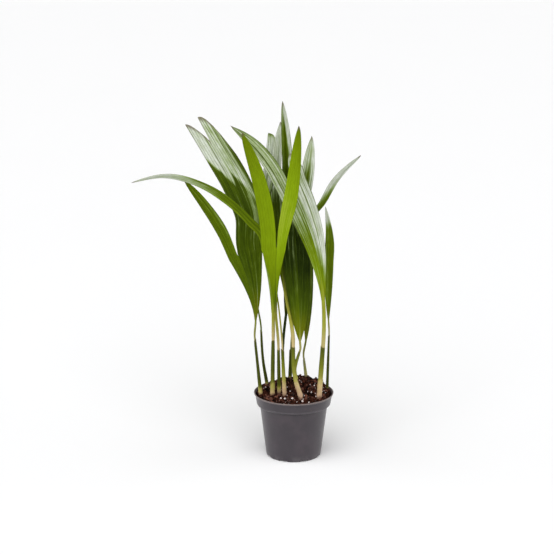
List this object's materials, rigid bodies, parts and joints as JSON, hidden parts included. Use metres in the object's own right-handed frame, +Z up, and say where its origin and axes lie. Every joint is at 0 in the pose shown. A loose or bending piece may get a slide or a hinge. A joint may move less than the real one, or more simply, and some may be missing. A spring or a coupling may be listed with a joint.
{
  "type": "potted areca palm",
  "caption": "Clump of young areca palm plants with upright pleated leaves that split into pointed lobes, standing in a small round plastic nursery pot filled with potting mix.",
  "frame": {"origin": "centre of the pot's flat underside", "axes": "+Z up; +Y from the front of the plant, the side the picture shows, to its back; +X to the right seen from the front"},
  "size_m": [0.3348, 0.2404, 0.5304],
  "materials": {
    "pot_plastic": "matte",
    "potting_mix": "matte",
    "sheath": "satin",
    "leaf": "satin"
  },
  "bodies": {
    "root": {"pot": "pot_plastic", "soil": "potting_mix", "stem_01": "sheath", "stem_02": "sheath", "stem_03": "sheath", "stem_04": "sheath", "stem_05": "sheath", "stem_06": "sheath", "stem_07": "sheath", "stem_08": "sheath", "stem_09": "sheath", "stem_10": "sheath", "stem_11": "sheath", "frond_01": "leaf", "frond_02": "leaf", "frond_03": "leaf", "frond_04": "leaf", "frond_05": "leaf", "frond_06": "leaf", "frond_07": "leaf", "frond_08": "leaf", "frond_09": "leaf", "frond_10": "leaf", "frond_11": "leaf", "frond_12": "leaf"}
  },
  "joints": []
}
